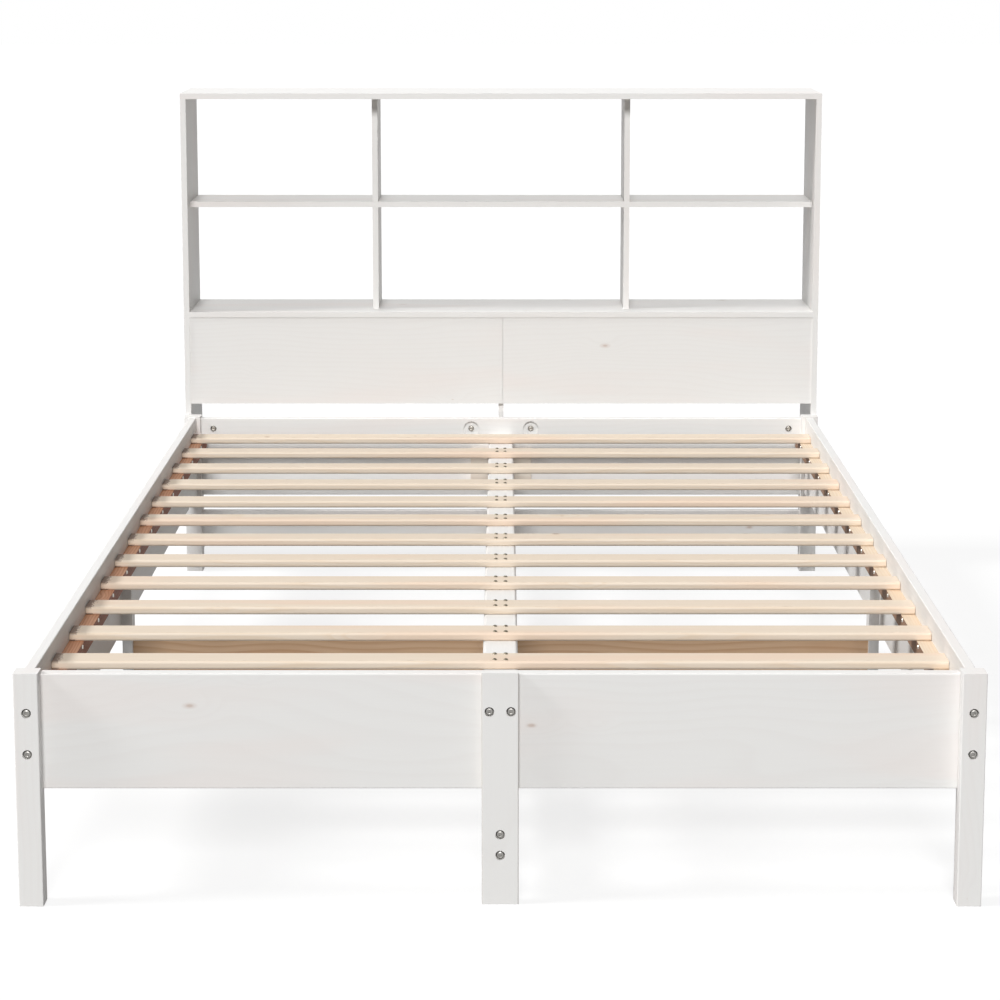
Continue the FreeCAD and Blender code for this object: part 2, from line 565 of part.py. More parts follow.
def bookcase_boards():
    """The top, the middle shelf, the bottom shelf and the dividers that lap the middle shelf."""
    shelf = "(case_depth - shelf_depth)"
    half = "(shelf_depth / 2)"
    back = "(case_depth - dowel_margin)"
    slot = "(panel_thick + lap_gap)"
    top = Board("bookcase_top", ("bed_width", "case_depth", "panel_thick"),
                (f"0 - {HALF}", HEAD, TOP_UNDER))
    seats = []
    for sign in "-+":
        seats += [(f"({HALF} {sign} ({HALF} - panel_thick / 2))", y) for y in ("dowel_margin", back)]
        seats += [(f"({HALF} {sign} divider_middle)", y) for y in (f"({shelf} + dowel_margin)", back)]
    top.drill("Peg_seats", "bottom", seats, DOWEL_HOLE, "dowel_seat", PEG_FLATS)
    middle = Board("middle_shelf", (f"2 * {CASE_IN}", "shelf_depth", "panel_thick"),
                   (f"0 - {CASE_IN}", SHELF_FRONT, "middle_top - panel_thick"))
    for side, sign in zip(SIDES, "-+"):
        start = (f"({CASE_IN} {sign} divider_middle - {slot} / 2)", f"({half} - lap_gap)")
        middle.notch(f"Lap_{side}", "top", slot, f"({half} + lap_gap)", start, "panel_thick")
        ends = [("dowel_margin", "panel_thick / 2"), ("(shelf_depth - dowel_margin)", "panel_thick / 2")]
        middle.drill(f"Peg_seats_{side}", side, ends, DOWEL_HOLE, DOWEL_END, PEG_FLATS)
    bottom = Board("bottom_shelf", (f"2 * {CASE_IN}", "case_depth", "panel_thick"),
                   (f"0 - {CASE_IN}", HEAD, BOTTOM_UNDER))
    seats = []
    for side, sign in zip(SIDES, "-+"):
        ends = [("dowel_margin", "panel_thick / 2"), (back, "panel_thick / 2")]
        bottom.drill(f"Peg_seats_{side}", side, ends, DOWEL_HOLE, DOWEL_END, PEG_FLATS)
        across = f"({CASE_IN} {sign} divider_middle)"
        seats += [(across, y) for y in (f"({shelf} + dowel_margin)", back)]
    bottom.drill("Divider_seats", "top", seats, DOWEL_HOLE, "dowel_seat", PEG_FLATS)
    high = f"({TOP_UNDER} - bottom_top)"
    for side, sign in zip(SIDES, ("0 -", "")):
        divider = Board(f"divider_{side}", ("panel_thick", "shelf_depth", high),
                        (f"{sign} divider_middle - panel_thick / 2", SHELF_FRONT, "bottom_top"))
        level = "(middle_top - panel_thick - bottom_top - lap_gap / 2)"
        divider.notch("Lap", "left", half, slot, ("0", level), "panel_thick")
        ends = [("panel_thick / 2", "dowel_margin"), ("panel_thick / 2", "(shelf_depth - dowel_margin)")]
        for face in ("bottom", "top"):
            divider.drill(f"Peg_seats_{face}", face, ends, DOWEL_HOLE, DOWEL_END, PEG_FLATS)


def bookcase_base():
    """The front panels, the centre support and the tie rail below the bottom shelf."""
    start = f"({HEAD} + front_setback)"
    spans = {"left": (f"(0 - {CASE_IN})", f"({CASE_IN} + front_joint - joint_gap / 2)"),
             "right": ("(front_joint + joint_gap / 2)", f"({CASE_IN} - front_joint - joint_gap / 2)")}
    for side in SIDES:
        across, wide = spans[side]
        panel = Board(f"front_panel_{side}", (wide, "panel_thick", "front_height"),
                      (across, start, FRONT_BOTTOM))
        ends = [("panel_thick / 2", "dowel_margin"), ("panel_thick / 2", "(front_height - dowel_margin)")]
        panel.drill("Peg_seats", side, ends, DOWEL_HOLE, DOWEL_END, PEG_FLATS)
    Board("bookcase_support", ("support_thick", f"case_depth - {PANEL_BACK}", BOTTOM_UNDER),
          ("0 - support_thick / 2", f"{HEAD} + {PANEL_BACK}", "0"))
    tie = Board("tie_rail", (f"2 * {CASE_IN}", PANEL_BACK, "tie_height"),
                (f"0 - {CASE_IN}", HEAD, "tie_bottom"))
    up = "fixing_height - tie_bottom"
    spreads = ("recess_spread", OUTER_FIXING)
    holes = [(f"({CASE_IN} {sign} {spread})", up) for sign in "-+" for spread in spreads]
    tie.drill("Clearance", "front", holes, BOLT_HOLE, PANEL_BACK)
    for side in SIDES:
        line = f"({PANEL_BACK} / 2)"
        ends = [(line, "dowel_margin"), (line, "(tie_height - dowel_margin)")]
        tie.drill(f"Peg_seats_{side}", side, ends, DOWEL_HOLE, DOWEL_END, PEG_FLATS)


def cross_hole(start, length):
    """The hole of a nut for its bolt, along +Y from a height."""
    hole = flat_sided(BOLT_FLATS, sheet.bolt_size + sheet.bolt_play, start)
    return hole.extrude(FreeCAD.Vector(0, length, 0))


def barrel_nut(length, hole, turn):
    """A barrel nut from its origin, bored across for its bolt, and turned to its own direction."""
    nut = flat_sided(BOLT_FLATS, sheet.nut_size, 0).extrude(FreeCAD.Vector(0, length, 0))
    nut.Placement.Rotation = turn
    across = cross_hole(-sheet.nut_size, 2 * sheet.nut_size)
    across.translate(hole * turn.multVec(FreeCAD.Vector(0, 1, 0)))
    return nut.cut(across)


def cap_nut():
    """A round nut along +Y from its origin, closed at its far end."""
    nut = flat_sided(HEAD_FLATS, sheet.cap_size, 0).extrude(FreeCAD.Vector(0, sheet.cap_height, 0))
    return nut.cut(cross_hole(0, sheet.cap_height - 1))


def rail_fasteners():
    """The bolts through the corner legs and the barrel nuts that they pull on."""
    nuts = []
    for end in ("foot", "head"):
        backwards = end == "head"
        seat = f"{FOOT} + sink_depth"
        line = f"({FOOT} + leg_side + nut_setback)"
        if backwards:
            seat = f"{HEAD} - sink_depth"
            line = f"({HEAD} - leg_side - nut_setback)"
        shape = bolt(sheet.bolt_length, backwards)
        bolts = []
        for side in SIDES:
            sign = "0 -" if side == "left" else ""
            for up in ("bolt_low", "bolt_high"):
                bolts.append(placed(shape, (f"{sign} ({HALF} - {RAIL_LINE})", seat, up)))
                turn = FreeCAD.Rotation(FreeCAD.Vector(0, 0, 1), 90 if side == "left" else -90)
                nut = barrel_nut(sheet.nut_length, sheet.rail_thick / 2, turn)
                nuts.append(placed(nut, (f"{sign} {RAIL_IN}", line, up)))
        group(f"{end}_bolts", bolts)
    group("rail_barrel_nuts", nuts)


def centre_fasteners():
    """The bolts of the foot centre leg and the barrel nuts in the beam and the stretcher."""
    seat = f"{BOARD_FRONT} - post_thick + sink_depth"
    spread = ("0 - post_spread", "post_spread")
    shape = bolt(sheet.beam_bolt)
    group("beam_bolts", [placed(shape, (across, seat, "bolt_high")) for across in spread])
    shape = bolt(sheet.spine_bolt)
    heights = ("spine_low", "spine_high")
    group("spine_bolts", [placed(shape, ("0", seat, up)) for up in heights])
    turn = FreeCAD.Rotation(FreeCAD.Vector(1, 0, 0), 90)
    upright = barrel_nut(sheet.nut_length, sheet.nut_length / 2, turn)
    line = f"{BOARD_BACK} + nut_setback"
    nuts = [placed(upright, (across, line, "bolt_high - nut_length / 2")) for across in spread]
    turn = FreeCAD.Rotation(FreeCAD.Vector(0, 0, 1), 90)
    level = barrel_nut(sheet.nut_length, sheet.spine_thick / 2, turn)
    line = f"{BOARD_FRONT} + nut_setback"
    nuts += [placed(level, ("spine_thick / 2", line, up)) for up in heights]
    group("centre_barrel_nuts", nuts)


def fixings():
    """The bolts that hold the head rail to the tie rail of the bookcase, and their cap nuts."""
    reach = sheet.board_thick - sheet.recess_depth + sheet.front_setback + sheet.panel_thick
    shape = bolt(reach + sheet.cap_height / 2)
    bolts = []
    nuts = []
    for sign in ("0 -", ""):
        for spread in ("recess_spread", OUTER_FIXING):
            across = f"{sign} {spread}"
            bolts.append(placed(shape, (across, f"{HEAD_RAIL_FRONT} + recess_depth", "fixing_height")))
            nuts.append(placed(cap_nut(), (across, f"{HEAD} + {PANEL_BACK}", "fixing_height")))
    group("fixing_bolts", bolts)
    group("cap_nuts", nuts)


def peg_row(lines, start):
    """Pegs across the bed at both sides, at the same places in y and z."""
    pegs = []
    for y, z in lines:
        for across in (start, f"0 - {start} - dowel_length"):
            pegs.append(peg("x", (across, y, z)))
    return pegs


def frame_pegs():
    """The pegs between the legs and the boards that run across the bed."""
    start = f"({LEG_IN} - dowel_length / 2)"
    lines = []
    for along in (f"{FOOT} + {FOOT_PEG_LINE}", f"{HEAD} - leg_side + {HEAD_PEG_LINE}"):
        lines += [(along, f"board_bottom + {up}") for up in (BOARD_PEG_LOW, BOARD_PEG_HIGH)]
    heights = (STRETCHER_PEG_LOW, STRETCHER_PEG_HIGH)
    lines += [(f"{HEAD} - leg_side / 2", f"low_bottom + {up}") for up in heights]
    pegs = peg_row(lines, start)
    start = f"({RAIL_IN} - mid_width - {DOWEL_END})"
    pegs += peg_row([(f"{MID_FRONT} + mid_depth / 2", f"mid_bottom + {up}") for up in heights], start)
    group("frame_pegs", pegs)


def case_pegs():
    """The pegs that hold the boards of the bookcase together."""
    back = f"({CASE_BACK} - dowel_margin)"
    shelf = f"({SHELF_FRONT} + dowel_margin)"
    front = f"({HEAD} + dowel_margin)"
    lines = [(y, "middle_top - panel_thick / 2") for y in (shelf, back)]
    lines += [(y, "bottom_top - panel_thick / 2") for y in (front, back)]
    line = f"{HEAD} + front_setback + panel_thick / 2"
    lines += [(line, f"{FRONT_BOTTOM} + dowel_margin"), (line, f"{BOTTOM_UNDER} - dowel_margin")]
    line = f"{HEAD} + {PANEL_BACK} / 2"
    lines += [(line, "tie_bottom + dowel_margin"), (line, "tie_bottom + tie_height - dowel_margin")]
    pegs = peg_row(lines, f"({CASE_IN} - {DOWEL_END})")
    for sign in ("0 -", ""):
        for y in (front, back):
            across = f"{sign} ({HALF} - panel_thick / 2)"
            pegs.append(peg("z", (across, y, f"{TOP_UNDER} - {DOWEL_END}")))
        for y in (shelf, back):
            pegs.append(peg("z", (f"{sign} divider_middle", y, f"{TOP_UNDER} - {DOWEL_END}")))
            pegs.append(peg("z", (f"{sign} divider_middle", y, "bottom_top - dowel_seat")))
    group("case_pegs", pegs)


def write():
    """Checks every object and writes each sub-part to its own file."""
    doc.recompute()
    faults = [item.Label for item in doc.Objects if {"Invalid", "Error"} & set(item.State)]
    if faults:
        raise RuntimeError(f"failed objects: {faults}")
    os.makedirs("parts", exist_ok=True)
    for item in doc.Objects:
        if item.TypeId in ("PartDesign::Body", "Part::Compound"):
            if item.Shape.isNull() or not item.Shape.isValid():
                raise RuntimeError(f"{item.Label} is not a sound solid")
            item.Shape.exportStep(f"parts/{item.Label}.step")
            print(item.Label, len(item.Shape.Solids), round(item.Shape.Volume))


corner_legs("foot")
foot_boards()
foot_centre_leg()
side_rails()
slat_support()
slats()
middle_frame()
low_frame()
corner_legs("head")
head_rail()
bookcase_sides()
bookcase_boards()
bookcase_base()
rail_fasteners()
centre_fasteners()
fixings()
frame_pegs()
case_pegs()
write()
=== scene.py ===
# %% [markdown]
# # A bookcase headboard bed in white-washed pine
# The bed is a low knock-down frame with a slatted base and an open bookcase at its head. Its boards,
# legs, bolts and nuts come in as a fixed frame that was measured and cut elsewhere. This lesson gives
# each of them the surface of the real wood or metal, puts finer bolts in place of the plain ones, adds
# the small screws that hold the slats, and sets up a plain studio. We begin with the frame, because
# every later number is measured against it.

import math
import random

import bmesh
import bpy
from mathutils import Euler, Matrix, Vector


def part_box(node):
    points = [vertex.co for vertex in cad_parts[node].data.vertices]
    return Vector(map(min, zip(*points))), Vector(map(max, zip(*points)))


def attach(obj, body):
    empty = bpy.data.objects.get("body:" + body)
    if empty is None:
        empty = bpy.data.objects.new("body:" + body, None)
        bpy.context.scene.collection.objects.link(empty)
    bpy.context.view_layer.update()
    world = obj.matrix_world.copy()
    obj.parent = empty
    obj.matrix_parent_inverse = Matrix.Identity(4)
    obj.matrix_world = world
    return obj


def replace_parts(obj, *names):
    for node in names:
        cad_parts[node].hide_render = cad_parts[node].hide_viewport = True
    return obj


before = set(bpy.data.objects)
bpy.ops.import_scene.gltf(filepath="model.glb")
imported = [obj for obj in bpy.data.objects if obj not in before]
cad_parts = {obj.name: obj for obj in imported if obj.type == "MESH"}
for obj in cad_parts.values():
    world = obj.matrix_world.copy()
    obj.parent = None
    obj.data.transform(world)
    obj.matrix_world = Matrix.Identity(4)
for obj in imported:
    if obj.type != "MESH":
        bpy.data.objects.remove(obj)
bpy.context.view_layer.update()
MM = 0.001

# %% [markdown]
# ## Colours
# Paint charts and pickers give colours as sRGB hex values, while the shaders work with linear light.
# One small function does the turn, so every colour below can be read and changed as a hex value.


# %% Hex colour to linear light
def linear(hex_colour):
    """An sRGB hex colour as linear red, green, blue and a full alpha."""
    parts = [int(hex_colour[i:i + 2], 16) / 255 for i in (1, 3, 5)]
    return (*(p / 12.92 if p <= 0.04045 else ((p + 0.055) / 1.055) ** 2.4 for p in parts), 1.0)


print("a mid grey of #808080 is", round(linear("#808080")[0], 3), "in linear light")

# %% [markdown]
# ## One helper for nodes
# A material is a small graph. Adding a node always means the same three things: making it, setting its
# own options, and filling or linking its sockets. A helper that does just this keeps the graphs short
# to read, and because it knows nothing about any kind of node it serves them all.


# %% Adding a node
def put(tree, kind, values=None, **settings):
    """Adds a node; settings are its own options, values are numbers or sockets for its inputs."""
    node = tree.nodes.new(kind)
    for key, value in settings.items():
        setattr(node, key, value)
    for key, value in (values or {}).items():
        if isinstance(value, bpy.types.NodeSocket):
            tree.links.new(value, node.inputs[key])
        else:
            node.inputs[key].default_value = value
    return node


def empty_material(name):
    """A new material with nothing in its graph, and that graph."""
    material = bpy.data.materials.new(name)
    material.use_nodes = True
    material.node_tree.nodes.clear()
    return material, material.node_tree


print("helpers ready: put, empty_material")

# %% [markdown]
# ## A board in its log
# Pine shows pale early wood and darker late wood, one pair for each year of the tree. A board is a
# slice out of these nested cones, so a flat face has long arches in its middle and straight lines near
# its edges, and the end of a board has arcs. A picture of grain would repeat and slide over corners.
# So the pattern is worked out in three dimensions instead, and the same pattern then shows on faces,
# edges and ends as in real wood.
#
# Before any pattern, the board is laid into its log: its grain then runs along X, its wide face lies
# along Y and its thickness along Z, whichever way it stands in the bed. The direction of its surface is
# kept as well, because knots and the painted shade at the slats' left ends show on the wide faces, and
# the narrow sides can take a colour of their own, which on the centre leg and the ledgers is painted shade.


# %% Laying a board into a log
def lay_in_log(tree, grain, face, place):
    """Sockets: the place on the bed and in the log, and how much of a wide face or side this is."""
    through = ({"X", "Y", "Z"} - {grain, face}).pop()
    where = put(tree, "ShaderNodeTexCoord").outputs["Object"]
    axes = put(tree, "ShaderNodeSeparateXYZ", {"Vector": where}).outputs
    turned = put(tree, "ShaderNodeCombineXYZ",
                 {"X": axes[grain], "Y": axes[face], "Z": axes[through]}).outputs[0]
    log = put(tree, "ShaderNodeVectorMath", {0: turned, 1: place}, operation="ADD").outputs[0]
    normal = put(tree, "ShaderNodeNewGeometry").outputs["True Normal"]
    normal = put(tree, "ShaderNodeSeparateXYZ", {"Vector": normal}).outputs
    facing = put(tree, "ShaderNodeMath", {0: normal[through]}, operation="ABSOLUTE").outputs[0]
    side = put(tree, "ShaderNodeMath", {0: normal[face]}, operation="ABSOLUTE").outputs[0]
    return {"where": where, "rightwards": axes["X"], "log": log, "facing": facing, "side": side}


print("a board can be laid into a log")

# %% [markdown]
# ## Knots
# A knot is a branch that the tree has grown round. It runs through the board, so it shows its round end
# on the wide faces only, and the year rings part to pass it. Knots could be placed by hand, but this bed
# has 45 boards. A flat Voronoi pattern gives each patch of the log one point and one random number
# instead: the point is the branch, and the number says how thick it is. Low numbers give no branch.

# %% Branches through the log
KNOT_CELL = 150 * MM       # each patch of this size has room for one branch
KNOT_LONG = 2.2            # a knot and the rings round it are longer along the grain
KNOT_REACH = 24 * MM       # how far a knot pushes the rings aside
KNOT_PUSH = 6 * MM
KNOT_RIM = 1.5 * MM        # half the width of the soft border between a knot and the wood
BRANCH_FROM = 0.35         # patches with a lower number than this have no branch
NO_BRANCH = -4 * MM        # the radius there, far enough below nothing that no border shows


def knots(tree, board, knot_size):
    """Sockets: the knots, the distance from the nearest one, and how far it pushes the rings."""
    flattened = put(tree, "ShaderNodeVectorMath", {0: board["log"], 1: (1 / KNOT_LONG, 1, 1)},
                    operation="MULTIPLY").outputs[0]
    cells = put(tree, "ShaderNodeTexVoronoi", {"Vector": flattened, "Scale": 1 / KNOT_CELL,
                                               "Randomness": 1.0}, voronoi_dimensions="2D")
    away = put(tree, "ShaderNodeMath", {0: cells.outputs["Distance"], 1: KNOT_CELL},
               operation="MULTIPLY").outputs[0]
    draw = put(tree, "ShaderNodeSeparateColor", {0: cells.outputs["Color"]}).outputs[0]
    radius = put(tree, "ShaderNodeMapRange",
                 {0: draw, 1: BRANCH_FROM, 2: 1.0, 3: NO_BRANCH, 4: knot_size}).outputs[0]
    rim = put(tree, "ShaderNodeMath", {0: away, 1: radius}, operation="SUBTRACT").outputs[0]
    round_end = put(tree, "ShaderNodeMapRange", {0: rim, 1: -KNOT_RIM, 2: KNOT_RIM, 3: 1.0, 4: 0.0},
                    interpolation_type="SMOOTHSTEP").outputs[0]
    knot = put(tree, "ShaderNodeMath", {0: round_end, 1: board["facing"]},
               operation="MULTIPLY").outputs[0]
    push = put(tree, "ShaderNodeMapRange", {0: rim, 1: 0.0, 2: KNOT_REACH, 3: KNOT_PUSH, 4: 0.0},
               interpolation_type="SMOOTHERSTEP").outputs[0]
    return {"knot": knot, "away": away, "push": push}


print(f"room for a branch every {KNOT_CELL / MM:.0f} mm")

# %% [markdown]
# ## Year rings
# Each year of a pine ends in a dark line: the wood darkens slowly through the summer and stops sharply
# in autumn. The stripes of a wave texture would be too even for this. So the distance of each point
# from the heart of a gently bending log is divided by the growth of a year. What is left after the whole
# years is the season, and that gives the slow rise and the sharp end.

# %% Rings round a bending heart
RING = 4.2 * MM            # a year's growth of quick plantation pine
SUMMER = 0.35              # the part of the year at which the wood starts to darken
AUTUMN = 0.9               # the part at which it is darkest
BEND = 46 * MM             # how far the log wanders from a straight line
WANDER = (1.6, 5.0, 5.0)   # how fast it wanders for each metre, slowly along the grain


def year_rings(tree, board, push):
    """A socket that is 0 in the pale wood of each year and rises to 1 in its dark wood."""
    slow = put(tree, "ShaderNodeVectorMath", {0: board["log"], 1: WANDER}, operation="MULTIPLY").outputs[0]
    drift = put(tree, "ShaderNodeTexNoise", {"Vector": slow, "Scale": 1.0, "Detail": 2.0}).outputs["Color"]
    centred = put(tree, "ShaderNodeVectorMath", {0: drift, 1: (0.5, 0.5, 0.5)},
                  operation="SUBTRACT").outputs[0]
    bend = put(tree, "ShaderNodeVectorMath", {0: centred, 1: (0, BEND, BEND)},
               operation="MULTIPLY").outputs[0]
    bent = put(tree, "ShaderNodeVectorMath", {0: board["log"], 1: bend}, operation="ADD").outputs[0]
    across = put(tree, "ShaderNodeVectorMath", {0: bent, 1: (0, 1, 1)}, operation="MULTIPLY").outputs[0]
    reach = put(tree, "ShaderNodeVectorMath", {0: across}, operation="LENGTH").outputs["Value"]
    pushed = put(tree, "ShaderNodeMath", {0: reach, 1: push}, operation="ADD").outputs[0]
    years = put(tree, "ShaderNodeMath", {0: pushed, 1: RING}, operation="DIVIDE").outputs[0]
    season = put(tree, "ShaderNodeMath", {0: years}, operation="FRACT").outputs[0]
    rise = put(tree, "ShaderNodeMapRange", {0: season, 1: SUMMER, 2: AUTUMN},
               interpolation_type="SMOOTHSTEP").outputs[0]
    fall = put(tree, "ShaderNodeMapRange", {0: season, 1: AUTUMN, 2: 1.0, 3: 1.0, 4: 0.0}).outputs[0]
    return put(tree, "ShaderNodeMath", {0: rise, 1: fall}, operation="MULTIPLY").outputs[0]


print(f"rings every {RING / MM:.1f} mm")

# %% [markdown]
# ## Fibres and warm patches
# Between the rings a planed board shows its fibres, and over a hand's width it is warmer in some places
# than in others. Both are plain noise, drawn out along the grain, and only their sizes differ, so one
# function makes both. With them the wood is complete, and a last function gathers all of its sockets.

# %% Noise along the grain, and the whole pattern
FIBRE_WIDE = 2.6 * MM      # real fibres are 0.03 mm; drawn this coarse so that they show at all
FIBRE_LONG = 75 * MM
PATCH_WIDE = 70 * MM
PATCH_LONG = 420 * MM
PATCH_FROM = 0.48          # where the noise is higher than this a warm patch begins
PATCH_FULL = 0.68          # and here it has its whole strength


def drawn_out(tree, board, long, wide, detail):
    """Noise with flecks of this length along the grain and this width across it."""
    shrunk = put(tree, "ShaderNodeVectorMath", {0: board["log"], 1: (1 / long, 1 / wide, 1 / wide)},
                 operation="MULTIPLY").outputs[0]
    return put(tree, "ShaderNodeTexNoise", {"Vector": shrunk, "Scale": 1.0, "Detail": detail}).outputs[0]


def log_pattern(tree, grain, face, place, knot_size):
    """Every socket of a board cut from a log: its places, sides, knots, rings, fibres and patches."""
    board = lay_in_log(tree, grain, face, place)
    branch = knots(tree, board, knot_size)
    late = year_rings(tree, board, branch["push"])
    fibre = drawn_out(tree, board, FIBRE_LONG, FIBRE_WIDE, 2.0)
    cloud = drawn_out(tree, board, PATCH_LONG, PATCH_WIDE, 1.0)
    warm = put(tree, "ShaderNodeMapRange", {0: cloud, 1: PATCH_FROM, 2: PATCH_FULL},
               interpolation_type="SMOOTHSTEP").outputs[0]
    return {**board, **branch, "late": late, "fibre": fibre, "warm": warm}


print(f"fibres {FIBRE_LONG / MM:.0f} mm long, patches {PATCH_LONG / MM:.0f} mm long")

# %% [markdown]
# ## The finishes of this bed
# White wash is a thin, pigmented lacquer over planed pine: it hides the yellow of the wood but not its
# grain. The slats are only planed and sealed, and the ledgers and the board between the mid legs are
# left bare. Each could have a material of its own, but all of it is the same wood. So a finish is only a
# list: the colour of each feature of the wood, and the part of it that shows through.

# %% Pine finishes
# White-washed pine: a satin white in which late wood and knots are faint grey and pinkish marks.
WHITE_WASH = {"pale": "#E2E1DF", "late": "#D9D5D2", "late_part": 0.15, "warm": "#E3DBD7", "warm_part": 0.45,
              "fibre": "#D2CECA", "fibre_part": 0.12, "knot": "#C9BBB3", "knot_part": 0.36,
              "side": "#E2E1DF", "side_part": 0.0, "heart": "#C3B2A8", "satin": 0.46, "knot_size": 5 * MM}
# The same with painted shade on the narrow sides, so the centre leg's sides are a darker, warmer grey.
SHADED_SIDES = {**WHITE_WASH, "side": "#B9B3AC", "side_part": 0.9}
# Planed and sealed pine: a warm cream with soft grain, and brown specks of painted shade at the left ends,
# where the left rail shades them.
SEALED_SLAT = {"pale": "#DACDBD", "late": "#CFB596", "late_part": 0.3, "warm": "#DCC4B0", "warm_part": 0.7,
               "fibre": "#C8AF90", "fibre_part": 0.22, "knot": "#B08058", "knot_part": 0.7,
               "side": "#DBCCB9", "side_part": 0.0, "heart": "#825436", "satin": 0.6, "knot_size": 4 * MM,
               "end_shade": "#503428"}
# Bare pine of a low grade: honey brown and dull, with strong grain and dark knots.
BARE_PINE = {"pale": "#D3B494", "late": "#B0805A", "late_part": 0.4, "warm": "#BE906A", "warm_part": 0.7,
             "fibre": "#A97C56", "fibre_part": 0.3, "knot": "#7E4526", "knot_part": 0.9,
             "side": "#B58963", "side_part": 0.2, "heart": "#4E2612", "satin": 0.62, "knot_size": 9 * MM}
# Bare pine, darker and redder than the right ledger's: painted shade and warm bounce light of the left
# ledger, with a much darker inner side, which is painted shade as well.
SHADED_RED_PINE = {"pale": "#CE9E7E", "late": "#A0623F", "late_part": 0.5, "warm": "#B06C4A", "warm_part": 0.8,
             "fibre": "#8E5334", "fibre_part": 0.4, "knot": "#6C3820", "knot_part": 0.9,
             "side": "#783C24", "side_part": 0.8, "heart": "#421E10", "satin": 0.62, "knot_size": 7 * MM}
# Bare pine, pale and creamy on top, with a dark inner side that is painted shade under the slats.
PALE_PINE_SHADED_SIDE = {"pale": "#D7C8B4", "late": "#C8A884", "late_part": 0.3, "warm": "#DCC0A2", "warm_part": 0.6,
           "fibre": "#C2A27E", "fibre_part": 0.25, "knot": "#A87850", "knot_part": 0.8,
           "side": "#7A5238", "side_part": 0.85, "heart": "#5E3018", "satin": 0.62, "knot_size": 5 * MM}
# Pine wiped once with the wash: between bare and white, for the blocks under the beam.
PALE_BLOCK = {"pale": "#DCD3C8", "late": "#CDBBA8", "late_part": 0.3, "warm": "#DACABC", "warm_part": 0.6,
              "fibre": "#C8B7A4", "fibre_part": 0.2, "knot": "#8E6E5A", "knot_part": 0.8,
              "side": "#DCD3C8", "side_part": 0.0, "heart": "#6A4A38", "satin": 0.6, "knot_size": 8 * MM}
print("finishes: white wash, thin edged, sealed slat, bare pine, heartwood, sapwood, pale block")

# %% [markdown]
# ## Hearts of knots and painted shade at the slat ends
# Two marks lie on top of the wood. The pith in the heart of a knot is a small dark spot, whatever the
# finish. The slats' left ends lie in the shade of the left rail, and that shade is painted in as brown
# specks. Specks of noise that thin out away from the end need no picture and never repeat.

# %% Spots and specks
HEART_FULL = 0.8 * MM      # the heart of a knot is dark as far out as this
HEART_GONE = 3.2 * MM      # and gone here
HEART_PART = 0.8           # how much of its colour covers the wood
SLAT_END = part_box("slat_01")[0].x   # all slats end on the left where the first one does
END_SHADE_LONG = 20 * MM       # how far the painted shade of the left rail reaches from the end
END_SHADE_THICK = 0.62         # how much more likely a speck is at the very end
END_SHADE_SPECK = 2.6 * MM
SPECK_FROM = 0.76          # noise and nearness together must pass this for a speck to begin
SPECK_FULL = 0.9
SPECK_PART = 0.85


def knot_hearts(tree, wood, colour, dark):
    """The colour with a small dark spot in the heart of each knot."""
    heart = put(tree, "ShaderNodeMapRange",
                {0: wood["away"], 1: HEART_FULL, 2: HEART_GONE, 3: HEART_PART, 4: 0.0},
                interpolation_type="SMOOTHSTEP").outputs[0]
    spot = put(tree, "ShaderNodeMath", {0: heart, 1: wood["knot"]}, operation="MULTIPLY").outputs[0]
    return put(tree, "ShaderNodeMix", {0: spot, 6: colour, 7: linear(dark)}, data_type="RGBA").outputs[2]


def painted_end_shade(tree, wood, colour, painted_shade):
    """The colour with specks of painted shade on the wide faces, thinning out from the slats' left ends,
    where the left rail shades them.
    """
    near = put(tree, "ShaderNodeMapRange",
               {0: wood["rightwards"], 1: SLAT_END, 2: SLAT_END + END_SHADE_LONG, 3: END_SHADE_THICK, 4: 0.0},
               interpolation_type="SMOOTHSTEP").outputs[0]
    cloud = put(tree, "ShaderNodeTexNoise", {"Vector": wood["where"], "Scale": 1 / END_SHADE_SPECK,
                                             "Detail": 3.0}).outputs[0]
    likely = put(tree, "ShaderNodeMath", {0: near, 1: cloud}, operation="ADD").outputs[0]
    speck = put(tree, "ShaderNodeMapRange",
                {0: likely, 1: SPECK_FROM, 2: SPECK_FULL, 3: 0.0, 4: SPECK_PART}).outputs[0]
    weight = put(tree, "ShaderNodeMath", {0: speck, 1: wood["facing"]}, operation="MULTIPLY").outputs[0]
    return put(tree, "ShaderNodeMix", {0: weight, 6: colour, 7: linear(painted_shade)},
               data_type="RGBA").outputs[2]


print(f"dirt on the last {END_SHADE_LONG / MM:.0f} mm of the slats, which end at {SLAT_END / MM:.0f} mm")

# %% [markdown]
# ## A finished board
# One function stirs a finish into the wood: layer by layer it lets a part of each feature's colour show,
# then adds the marks. Planing leaves the hard late wood a hair prouder than the soft early wood, which a
# little bump gives, and the fibres make the satin a touch rougher in places.

# %% Wood, finish and shine
RELIEF = 0.15 * MM         # how proud the late wood and the fibres could stand
RELIEF_PART = 0.25         # and how much of it planing has left
LATE_PROUD = 0.6           # the late wood's share of it, beside the fibres
SMOOTHER = 0.06            # how much the satin's roughness falls and rises along the fibres
ROUGHER = 0.08
LACQUER_IOR = 1.42         # thin wash and sealer shine a little less than full varnish


